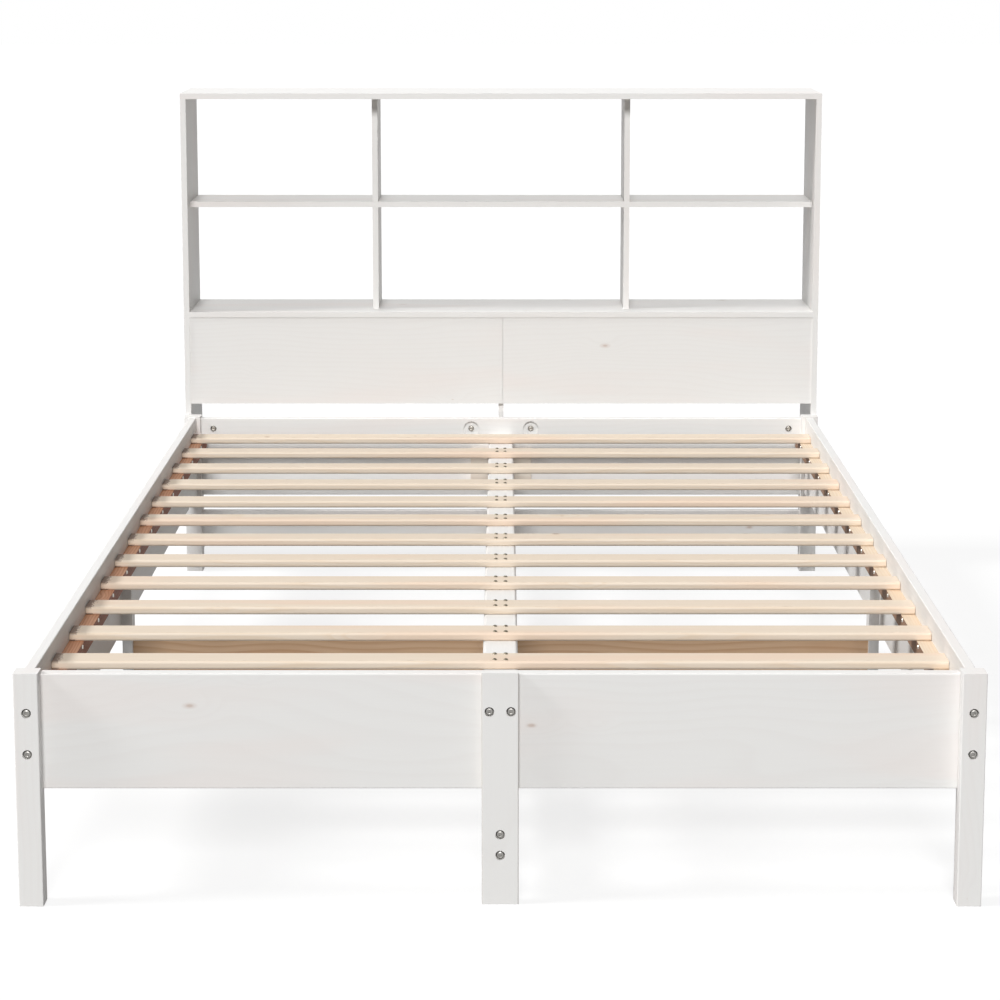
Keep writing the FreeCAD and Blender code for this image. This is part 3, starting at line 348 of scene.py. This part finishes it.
def pine_board(name, finish, grain, face, place):
    """A planed pine board with its grain along one axis and its wide face along another."""
    material, tree = empty_material(name)
    wood = log_pattern(tree, grain, face, place, finish["knot_size"])
    colour = linear(finish["pale"])
    for feature in ("late", "warm", "fibre", "knot", "side"):
        weight = put(tree, "ShaderNodeMath", {0: wood[feature], 1: finish[f"{feature}_part"]},
                     operation="MULTIPLY").outputs[0]
        colour = put(tree, "ShaderNodeMix", {0: weight, 6: colour, 7: linear(finish[feature])},
                     data_type="RGBA").outputs[2]
    colour = knot_hearts(tree, wood, colour, finish["heart"])
    # painted shade: brown specks at the slats' left ends, where the left rail shades them
    if "end_shade" in finish:
        colour = painted_end_shade(tree, wood, colour, finish["end_shade"])
    proud = put(tree, "ShaderNodeMath", {0: wood["late"], 1: LATE_PROUD, 2: wood["fibre"]},
                operation="MULTIPLY_ADD").outputs[0]
    relief = put(tree, "ShaderNodeBump", {"Strength": RELIEF_PART, "Distance": RELIEF,
                                          "Height": proud}).outputs[0]
    smoothest, roughest = finish["satin"] - SMOOTHER, finish["satin"] + ROUGHER
    shine = put(tree, "ShaderNodeMapRange",
                {0: wood["fibre"], 1: 0.25, 2: 0.75, 3: smoothest, 4: roughest}).outputs[0]
    shader = put(tree, "ShaderNodeBsdfPrincipled", {"Base Color": colour, "Roughness": shine,
                                                    "Normal": relief, "IOR": LACQUER_IOR}).outputs[0]
    put(tree, "ShaderNodeOutputMaterial", {"Surface": shader})
    return material


print("a board can be finished, relief", round(RELIEF / MM, 2), "mm")

# %% [markdown]
# ## Dressing the boards
# Every board is cut from its own place in its own log, so no two have the same grain: the two foot
# boards differ on the real bed as well. The tables say for each piece which way its grain runs and
# which way its wide face lies. A seeded draw then shifts it to its place in the log, the same on each
# run. The shift could be typed in for each board, but a draw serves any number of them.

# %% Which way each board runs
WASHED = {
    "foot_leg_left": "ZX", "foot_leg_right": "ZX", "mid_centre_leg": "ZX",
    "mid_leg_left": "ZY", "mid_leg_right": "ZY", "head_leg_left": "ZX", "head_leg_right": "ZX",
    "foot_board_left": "XZ", "foot_board_right": "XZ", "head_rail": "XZ", "back_stretcher": "XZ",
    "side_rail_left": "YZ", "side_rail_right": "YZ", "centre_beam": "YX",
    "centre_stretcher_foot": "YZ", "centre_stretcher_head": "YZ",
    "bookcase_side_left": "ZY", "bookcase_side_right": "ZY", "bookcase_top": "XY",
    "middle_shelf": "XY", "bottom_shelf": "XY", "divider_left": "ZY", "divider_right": "ZY",
    "front_panel_left": "XZ", "front_panel_right": "XZ", "bookcase_support": "ZY", "tie_rail": "XZ",
}
SLATS = {name: "XY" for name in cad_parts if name.startswith("slat_") and name[5:].isdigit()}
OTHERS = {
    # the centre leg's finish paints shade on its sides
    "foot_centre_leg": ("ZX", SHADED_SIDES), "mid_stretcher": ("XZ", BARE_PINE),
    # the ledgers' finishes carry painted shade: the left one all over, both on their inner sides
    "slat_ledger_left": ("YX", SHADED_RED_PINE), "slat_ledger_right": ("YX", PALE_PINE_SHADED_SIDE),
    "foot_beam_block": ("XZ", PALE_BLOCK), "head_beam_block": ("XZ", PALE_BLOCK),
}
logs = random.Random(7)


def place_in_log():
    """A board's own shift into the log, in metres: far along it, and a little across and outwards."""
    return (logs.uniform(3, 40), logs.uniform(-0.03, 0.03), logs.choice((-1, 1)) * logs.uniform(0.05, 0.1))


def dress(name, material):
    """Gives a piece of the frame one material in place of the plain one it came with."""
    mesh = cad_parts[name].data
    mesh.materials.clear()
    mesh.materials.append(material)


for table, finish, title in ((WASHED, WHITE_WASH, "white_washed_pine"),
                             (SLATS, SEALED_SLAT, "sealed_slat_pine")):
    for name, (grain, face) in sorted(table.items()):
        dress(name, pine_board(f"{title}_{name}", finish, grain, face, place_in_log()))
for name, ((grain, face), finish) in sorted(OTHERS.items()):
    dress(name, pine_board(f"pine_of_{name}", finish, grain, face, place_in_log()))
print("boards dressed:", len(WASHED) + len(SLATS) + len(OTHERS))

# %% [markdown]
# ## Zinc-plated steel
# The bolts, barrel nuts and cap nuts are turned steel with a thin coat of zinc. Zinc is a grey metal
# with a soft shine: brighter where it was handled and duller in patches. A metal needs only its colour
# and roughness, and a cloudy noise of a few millimetres gives the uneven plating.

# %% Fittings of zinc-plated steel
PLATING_CLOUD = 3.0 * MM
BRIGHT_ROUGH = 0.3
DULL_ROUGH = 0.5


def zinc_plate(name, bright, dull):
    """Zinc-plated steel with cloudy plating between two greys."""
    material, tree = empty_material(name)
    where = put(tree, "ShaderNodeTexCoord").outputs["Object"]
    cloud = put(tree, "ShaderNodeTexNoise", {"Vector": where, "Scale": 1 / PLATING_CLOUD,
                                             "Detail": 3.0}).outputs[0]
    colour = put(tree, "ShaderNodeMix", {0: cloud, 6: linear(bright), 7: linear(dull)},
                 data_type="RGBA").outputs[2]
    shine = put(tree, "ShaderNodeMapRange",
                {0: cloud, 1: 0.3, 2: 0.7, 3: BRIGHT_ROUGH, 4: DULL_ROUGH}).outputs[0]
    shader = put(tree, "ShaderNodeBsdfPrincipled",
                 {"Base Color": colour, "Roughness": shine, "Metallic": 1.0}).outputs[0]
    put(tree, "ShaderNodeOutputMaterial", {"Surface": shader})
    return material


# Plain zinc plate: a mid grey that mirrors the room in a blurred way.
zinc = zinc_plate("zinc_plated_steel", "#A3A19D", "#7C7A77")
FITTINGS = ("foot_bolts", "head_bolts", "beam_bolts", "spine_bolts", "fixing_bolts",
            "rail_barrel_nuts", "centre_barrel_nuts", "cap_nuts")
# The plain bolts wear it as well, until finer ones take their places further down.
for name in FITTINGS:
    dress(name, zinc)
print("fittings dressed:", len(FITTINGS))

# %% [markdown]
# ## Where each fitting sits
# The frame holds each kind of fitting as one mesh of loose triangles. To put a finer bolt where a plain
# one is, we need the place of each. Merging the triangles' corners and then walking from vertex to
# vertex finds the separate solids, and the box of each gives its place.


# %% Finding the separate fittings
def solids_of(name):
    """The lowest and highest corner of each separate solid in a piece of the frame."""
    bm = bmesh.new()
    bm.from_mesh(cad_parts[name].data)
    bmesh.ops.remove_doubles(bm, verts=bm.verts, dist=0.001 * MM)
    waiting = set(bm.verts)
    boxes = []
    while waiting:
        to_visit = [waiting.pop()]
        found = []
        while to_visit:
            vertex = to_visit.pop()
            found.append(vertex.co.copy())
            for edge in vertex.link_edges:
                other = edge.other_vert(vertex)
                if other in waiting:
                    waiting.remove(other)
                    to_visit.append(other)
        boxes.append((Vector(map(min, zip(*found))), Vector(map(max, zip(*found)))))
    bm.free()
    return sorted(boxes, key=lambda box: tuple(box[0]))


print("bolts at the foot:", len(solids_of("foot_bolts")))

# %% [markdown]
# ## Button-head bolts
# The bolts have a low domed head with a hexagon socket, sunk into the leg. The dome is round, so a few
# points of its outline are spun about the bolt's axis. A hexagon can't come from spinning: its ring is
# made as a circle of six sides, bridged to the rim of the dome, and pushed in.

# %% One bolt
HEAD_WIDE = 11.5 * MM
HEAD_HIGH = 3.3 * MM
DOME = ((0.62, 0.97), (0.8, 0.8), (0.93, 0.55), (1.0, 0.25))   # parts of the half width and the height
SHANK_WIDE = 6.0 * MM
TIP_BEVEL = 0.8 * MM
SOCKET_FLATS = 4.0 * MM
SOCKET_DEEP = 1.9 * MM
SOCKET_RIM = 2.75 * MM     # the radius at which the dome turns down towards the socket
SOCKET_LIP = 0.25 * MM     # how far it turns down
TURN_STEPS = 24


def bolt_mesh(length):
    """A bolt with its head towards +Z and the underside of its head at the origin."""
    bm = bmesh.new()
    half, shank = HEAD_WIDE / 2, SHANK_WIDE / 2
    dome = [(half * across, HEAD_HIGH * up) for across, up in DOME]
    outline = [(SOCKET_RIM, HEAD_HIGH), *dome, (half, 0), (shank, 0), (shank, -length + TIP_BEVEL),
               (shank - TIP_BEVEL, -length)]
    points = [bm.verts.new((r, 0, z)) for r, z in outline]
    line = [bm.edges.new(pair) for pair in zip(points, points[1:])]
    bmesh.ops.spin(bm, geom=points + line, cent=(0, 0, 0), axis=(0, 0, 1), dvec=(0, 0, 0),
                   angle=2 * math.pi, steps=TURN_STEPS, use_merge=True, use_duplicate=False)
    rim = [e for e in bm.edges if e.is_boundary and all(v.co.z > 0 for v in e.verts)]
    tip = [e for e in bm.edges if e.is_boundary and all(v.co.z < 0 for v in e.verts)]
    bmesh.ops.edgeloop_fill(bm, edges=tip)
    six = bmesh.ops.create_circle(bm, cap_ends=False, segments=6, radius=SOCKET_FLATS / math.sqrt(3))["verts"]
    bmesh.ops.translate(bm, vec=(0, 0, HEAD_HIGH - SOCKET_LIP), verts=six)
    mouth = list({e for v in six for e in v.link_edges})
    bmesh.ops.bridge_loops(bm, edges=rim + mouth)
    grown = bmesh.ops.extrude_edge_only(bm, edges=mouth)["geom"]
    floor_ring = [g for g in grown if isinstance(g, bmesh.types.BMVert)]
    bmesh.ops.translate(bm, vec=(0, 0, -SOCKET_DEEP), verts=floor_ring)
    bmesh.ops.edgeloop_fill(bm, edges=[g for g in grown if isinstance(g, bmesh.types.BMEdge)
                                       and all(v in floor_ring for v in g.verts)])
    bmesh.ops.recalc_face_normals(bm, faces=bm.faces)
    mesh = bpy.data.meshes.new("one_bolt")
    bm.to_mesh(mesh)
    bm.free()
    return mesh


print("faces in one bolt:", len(bolt_mesh(58 * MM).polygons))

# %% [markdown]
# ## Bolts in their places
# The same bolt serves everywhere, in the four lengths that the frame has: 29.5, 45, 58 and 66 mm. Each
# could be an object of its own, but a set of bolts is one part in the frame, so its copies are gathered
# in one mesh. Each copy is turned so that its head looks out of the leg. Smooth shading with a sharp
# limit at 40 degrees keeps the dome round and the socket crisp.

# %% Copies of a fitting
SHARP_FROM = 40            # degrees between two faces


def copies(name, source, matrices, material):
    """One piece made of copies of a mesh, smooth where it is round and sharp at its edges."""
    bm = bmesh.new()
    for matrix in matrices:
        before = len(bm.verts)
        bm.from_mesh(source)
        bm.verts.ensure_lookup_table()
        bmesh.ops.transform(bm, matrix=matrix, verts=bm.verts[before:])
    mesh = bpy.data.meshes.new(name)
    bm.to_mesh(mesh)
    bm.free()
    mesh.shade_smooth()
    mesh.set_sharp_from_angle(angle=math.radians(SHARP_FROM))
    mesh.materials.append(material)
    piece = bpy.data.objects.new(name, mesh)
    bpy.context.scene.collection.objects.link(piece)
    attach(piece, "root")
    return piece


def facing_along(direction, place):
    """A matrix that takes +Z to a direction and the origin to a place."""
    return Matrix.Translation(place) @ Vector(direction).to_track_quat("Z", "Y").to_matrix().to_4x4()


# Zinc plate that was handled more: paler and less even, on the four fixings of the head rail.
handled = zinc_plate("dull_zinc_fixings", "#C2BDB5", "#86827C")
HEADS_LOOK = {"foot_bolts": -1, "beam_bolts": -1, "spine_bolts": -1, "fixing_bolts": -1, "head_bolts": 1}
for name, outward in HEADS_LOOK.items():
    boxes = solids_of(name)
    length = boxes[0][1].y - boxes[0][0].y - HEAD_HIGH
    spots = []
    for low, high in boxes:
        seat = low.y + HEAD_HIGH if outward < 0 else high.y - HEAD_HIGH
        spots.append(facing_along((0, outward, 0), ((low.x + high.x) / 2, seat, (low.z + high.z) / 2)))
    steel = handled if name == "fixing_bolts" else zinc
    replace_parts(copies(f"button_head_{name}", bolt_mesh(length), spots, steel), name)
    print(name, len(spots), "of", round(length / MM, 1), "mm")

# %% [markdown]
# ## Beech pegs
# The pegs inside the joints are beech: pinkish, hard and plain. They hide in their holes once the bed
# stands, and only show on the day it is taken apart. A ring pattern like the pine's would be lost on
# something so small, so short dark flecks, which are what marks beech, are enough.

# %% Pegs of beech
FLECK_LONG = 2.2 * MM
FLECK_WIDE = 0.7 * MM
BEECH_ROUGH = 0.6


def beech(name):
    """Steamed beech with its short, dark ray flecks."""
    material, tree = empty_material(name)
    where = put(tree, "ShaderNodeTexCoord").outputs["Object"]
    drawn = put(tree, "ShaderNodeVectorMath", {0: where, 1: (1 / FLECK_LONG, 1 / FLECK_WIDE, 1 / FLECK_WIDE)},
                operation="MULTIPLY").outputs[0]
    fleck = put(tree, "ShaderNodeTexNoise", {"Vector": drawn, "Scale": 1.0, "Detail": 1.0}).outputs[0]
    colour = put(tree, "ShaderNodeMix", {0: fleck, 6: linear("#DDB995"), 7: linear("#B98F66")},
                 data_type="RGBA").outputs[2]
    shader = put(tree, "ShaderNodeBsdfPrincipled",
                 {"Base Color": colour, "Roughness": BEECH_ROUGH}).outputs[0]
    put(tree, "ShaderNodeOutputMaterial", {"Surface": shader})
    return material


PEGS = ("frame_pegs", "case_pegs")
# Steamed beech: pinkish brown, smooth and dull.
pegs = beech("steamed_beech")
for name in PEGS:
    dress(name, pegs)
print("sets of pegs dressed:", len(PEGS))

# %% [markdown]
# ## Slat screws
# Each slat but the last is held by four small screws in its middle, where it crosses the beam. Their
# heads are round and a little proud, with a cross recess. They could be dots in a texture, but real
# heads catch the light and stay crisp in close views. The cross starts as the five middle squares of a
# grid of nine. It is bridged to a round rim and pushed in, which needs only a few dozen faces.

# %% One screw head
SCREW_WIDE = 6.4 * MM
SCREW_PROUD = 1.6 * MM
CROWN = 0.68               # how wide the flat top is, as a part of the whole head
CROSS_REACH = 3.4 * MM
CROSS_DEEP = 1.3 * MM
CROSS_TAPER = 0.6          # how wide the cross is at its bottom, as a part of its mouth
HEAD_SIDES = 12


def screw_mesh():
    """A round screw head with the foot of its skirt at the origin's height, looking towards +Z."""
    bm = bmesh.new()
    grid = bmesh.ops.create_grid(bm, x_segments=3, y_segments=3, size=CROSS_REACH / 2)["verts"]
    bmesh.ops.translate(bm, vec=(0, 0, SCREW_PROUD), verts=grid)
    square = CROSS_REACH / 3
    corners = [f for f in bm.faces if min(map(abs, f.calc_center_median()[:2])) > square / 2]
    bmesh.ops.delete(bm, geom=corners, context="FACES")
    arms = list(bm.faces)
    cross_rim = [e for e in bm.edges if e.is_boundary]
    disc = bmesh.ops.create_circle(bm, cap_ends=False, segments=HEAD_SIDES,
                                   radius=SCREW_WIDE / 2 * CROWN)["verts"]
    bmesh.ops.translate(bm, vec=(0, 0, SCREW_PROUD), verts=disc)
    round_rim = list({e for v in disc for e in v.link_edges})
    bmesh.ops.bridge_loops(bm, edges=cross_rim + round_rim)
    skirt = bmesh.ops.extrude_edge_only(bm, edges=round_rim)["geom"]
    low = [g for g in skirt if isinstance(g, bmesh.types.BMVert)]
    bmesh.ops.translate(bm, vec=(0, 0, -SCREW_PROUD), verts=low)
    bmesh.ops.scale(bm, vec=(1 / CROWN, 1 / CROWN, 1), verts=low)
    sunk = bmesh.ops.extrude_face_region(bm, geom=arms)["geom"]
    sunk = [g for g in sunk if isinstance(g, bmesh.types.BMVert)]
    bmesh.ops.translate(bm, vec=(0, 0, -CROSS_DEEP), verts=sunk)
    bmesh.ops.scale(bm, vec=(CROSS_TAPER, CROSS_TAPER, 1), verts=sunk)
    bmesh.ops.delete(bm, geom=[f for f in arms if f.is_valid], context="FACES_ONLY")
    bmesh.ops.recalc_face_normals(bm, faces=bm.faces)
    mesh = bpy.data.meshes.new("one_screw")
    bm.to_mesh(mesh)
    bm.free()
    return mesh


one_screw = screw_mesh()
print("faces in one screw head:", len(one_screw.polygons))

# %% [markdown]
# ## Where the screws go
# The middle screws stand 15 mm apart across the beam and 32 mm apart along it. Their places are worked
# out from the boxes of the slats, so they follow the frame if its sizes change. The ledgers are screwed
# to the side rails as well, once in front of every slat but the first, with the heads high on their
# inner faces, and the bearer block at the head has two. The last slat shows no screws in the
# photograph, so it has none.

# %% Places for the screws
MIDDLE_ACROSS = 7.5 * MM
ALONG = 16 * MM
LEDGER_DOWN = 4 * MM
LEDGER_AHEAD = 40 * MM
BLOCK_IN = 9 * MM


def slat_screw_spots(slats):
    """A place for each of four screws where a slat crosses the beam, all looking up."""
    spots = []
    for low, high in slats:
        middle = (low + high) / 2
        for x in (middle.x - MIDDLE_ACROSS, middle.x + MIDDLE_ACROSS):
            for y in (middle.y - ALONG, middle.y + ALONG):
                spots.append(facing_along((0, 0, 1), (x, y, high.z)))
    return spots


def ledger_screw_spots(slats):
    """A place for each screw through the ledgers, looking inwards, in front of every slat but the first."""
    spots = []
    for side, look in (("left", 1), ("right", -1)):
        low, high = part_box(f"slat_ledger_{side}")
        face = high.x if look > 0 else low.x
        for slat_low, slat_high in slats[1:]:
            ahead = (slat_low.y + slat_high.y) / 2 - LEDGER_AHEAD
            spots.append(facing_along((look, 0, 0), (face, ahead, high.z - LEDGER_DOWN)))
    return spots


def block_screw_spots():
    """A place for each of two screws through the bearer block at the head, looking to the foot."""
    low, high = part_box("head_beam_block")
    return [facing_along((0, -1, 0), (x, low.y, (low.z + high.z) / 2))
            for x in (low.x + BLOCK_IN, high.x - BLOCK_IN)]


slat_boxes = [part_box(name) for name in sorted(SLATS)]
up = slat_screw_spots(slat_boxes[:-1])
inward = ledger_screw_spots(slat_boxes)
footward = block_screw_spots()
print("screws:", len(up), "in the slats,", len(inward), "in the ledgers,", len(footward), "in the block")

# %% [markdown]
# ## Driving the screws in
# A screw stops wherever it is tight, so no two crosses stand alike. Setting all of them straight would
# look stamped, so a seeded draw turns each by an angle of its own. The screws in the slats and the block
# are a dark grey that paints the shade of the countersinks real heads sit in, and the screws in the
# ledgers are clean and pale.

# %% Screws in the slats, ledgers and block
turns = random.Random(11)


def turned(spots):
    """The same places, each screw stopped at an angle of its own."""
    return [spot @ Matrix.Rotation(turns.uniform(0, math.pi / 2), 4, "Z") for spot in spots]


# Dark zinc plate: a dark, brownish grey, painted shade of the countersinks real heads sit in, that makes each
# head a small dark dot.
shaded_zinc = zinc_plate("shaded_zinc_screws", "#7A7262", "#4A4438")
# Clean zinc plate: pale, so that the heads are light dots on the dark sides of the ledgers.
clean = zinc_plate("clean_zinc_screws", "#DAD6CE", "#B8B4AC")
# the screws in the slats and the block wear the dark plate, which paints the shade of their countersinks
for name, spots, plate in (("slat_screws", up, shaded_zinc), ("ledger_screws", inward, clean),
                           ("block_screws", footward, shaded_zinc)):
    piece = copies(name, one_screw, turned(spots), plate)
    print(name, "has", len(piece.data.polygons), "faces")

# %% [markdown]
# ## Camera
# The photograph looks along the bed from its foot, a little above it, with a long lens from nearly
# five metres, so the sides close in only gently. A long lens of about 104 mm at that distance gives the
# same crossing of the rails as the real picture. The camera tips down by ten degrees, and a slight
# vertical shift of the lens keeps the legs a little more upright.

# %% The camera
CAMERA_AT = (3.0 * MM, -4723.9 * MM, 1242.0 * MM)
TIP_DOWN = 9.86            # degrees
LENS_LONG = 103.527        # in millimetres, as lenses are sold
SHIFT = (-0.0025, -0.06)   # sideways and up, in parts of the picture's width
lens = bpy.data.cameras.new("camera")
lens.lens = LENS_LONG
lens.sensor_width = 36
lens.shift_x, lens.shift_y = SHIFT
lens.clip_end = 100
camera = bpy.data.objects.new("camera", lens)
camera.location = CAMERA_AT
camera.rotation_euler = Euler((math.radians(90 - TIP_DOWN), 0, 0))
bpy.context.scene.collection.objects.link(camera)
bpy.context.scene.camera = camera
print(f"camera {-CAMERA_AT[1]:.2f} m away, lens {lens.lens:.0f} mm")

# %% [markdown]
# ## Floor and background
# The studio is white: the camera sees a white floor and a white background, and so do the metal
# fittings. For the wood, the same floor is a pale grey that sends back some light from below, as a real
# floor does. Splitting the two by the kind of ray keeps the picture white without flooding the bed.

# %% The white studio
FLOOR_HALF = 30
FLOOR_DOWN = 0.2 * MM      # just below the legs, so that their ends and the floor share no plane
FLOOR_GLOW = 0.8           # with the light that falls on it, the floor then comes out white


def in_sight(tree):
    """A socket that is 1 for rays from the camera or by way of a mirror or glass, and otherwise 0."""
    rays = put(tree, "ShaderNodeLightPath").outputs
    mirrored = put(tree, "ShaderNodeMath", {0: rays["Is Glossy Ray"], 1: rays["Is Transmission Ray"]},
                   operation="MAXIMUM").outputs[0]
    return put(tree, "ShaderNodeMath", {0: rays["Is Camera Ray"], 1: mirrored},
               operation="MAXIMUM").outputs[0]


# White paper: bright and even to the eye, with the bed's soft shadow still on it.
paper, tree = empty_material("white_paper_floor")
grey = put(tree, "ShaderNodeBsdfDiffuse", {"Color": linear("#8A8A8A")}).outputs[0]
shadowed = put(tree, "ShaderNodeBsdfDiffuse", {"Color": linear("#808080")}).outputs[0]
white = put(tree, "ShaderNodeEmission", {"Color": (1, 1, 1, 1), "Strength": FLOOR_GLOW}).outputs[0]
both = put(tree, "ShaderNodeAddShader", {0: shadowed, 1: white}).outputs[0]
split = put(tree, "ShaderNodeMixShader", {0: in_sight(tree), 1: grey, 2: both}).outputs[0]
put(tree, "ShaderNodeOutputMaterial", {"Surface": split})

bm = bmesh.new()
bmesh.ops.create_grid(bm, x_segments=1, y_segments=1, size=FLOOR_HALF)
floor_mesh = bpy.data.meshes.new("floor")
bm.to_mesh(floor_mesh)
bm.free()
floor_mesh.materials.append(paper)
floor = bpy.data.objects.new("floor", floor_mesh)
bpy.context.scene.collection.objects.link(floor)
floor.location = (0, 0, -FLOOR_DOWN)
print("floor laid,", 2 * FLOOR_HALF, "m wide")

# %% [markdown]
# ## Light
# The real light is broad and soft. A key comes from the left and above, straight across the bed, so the
# slats throw narrow shadows on the right rail and the left rail's inner face lies in shade. A fill from
# the camera's side lights the foot boards and the bookcase, and the sky of the studio fills the rest. A
# low light from behind keeps the back from going dark, and leaves out the sheen that it would lay over
# every top. Wide suns are used, because they light both ends of a long bed alike.

# %% Key, fill, back light and sky
AMBIENT = 0.12             # what the sky gives the bed, where the camera sees a full 1
world = bpy.data.worlds.new("studio")
bpy.context.scene.world = world
world.use_nodes = True
tree = world.node_tree
tree.nodes.clear()
bright = put(tree, "ShaderNodeMapRange", {0: in_sight(tree), 3: AMBIENT, 4: 1.0}).outputs[0]
sky = put(tree, "ShaderNodeBackground", {"Color": (1, 1, 1, 1), "Strength": bright}).outputs[0]
put(tree, "ShaderNodeOutputWorld", {"Surface": sky})


def wide_sun(name, comes_from, level, spread):
    """A sun whose light on a white sheet facing it has this level, as wide as spread degrees."""
    sun = bpy.data.lights.new(name, "SUN")
    sun.energy = level * math.pi
    sun.angle = math.radians(spread)
    lamp = bpy.data.objects.new(name, sun)
    lamp.rotation_euler = Vector(comes_from).to_track_quat("Z", "Y").to_euler()
    bpy.context.scene.collection.objects.link(lamp)
    return lamp


suns = [wide_sun("key", comes_from=(-0.76, -0.08, 0.64), level=0.8, spread=16),
        wide_sun("fill", comes_from=(-0.04, -0.86, 0.5), level=0.83, spread=16),
        wide_sun("back", comes_from=(-0.1, 0.85, 0.45), level=0.24, spread=20)]
suns[-1].visible_glossy = False
bpy.context.scene.view_settings.view_transform = "Standard"
print("suns set:", [sun.name for sun in suns])
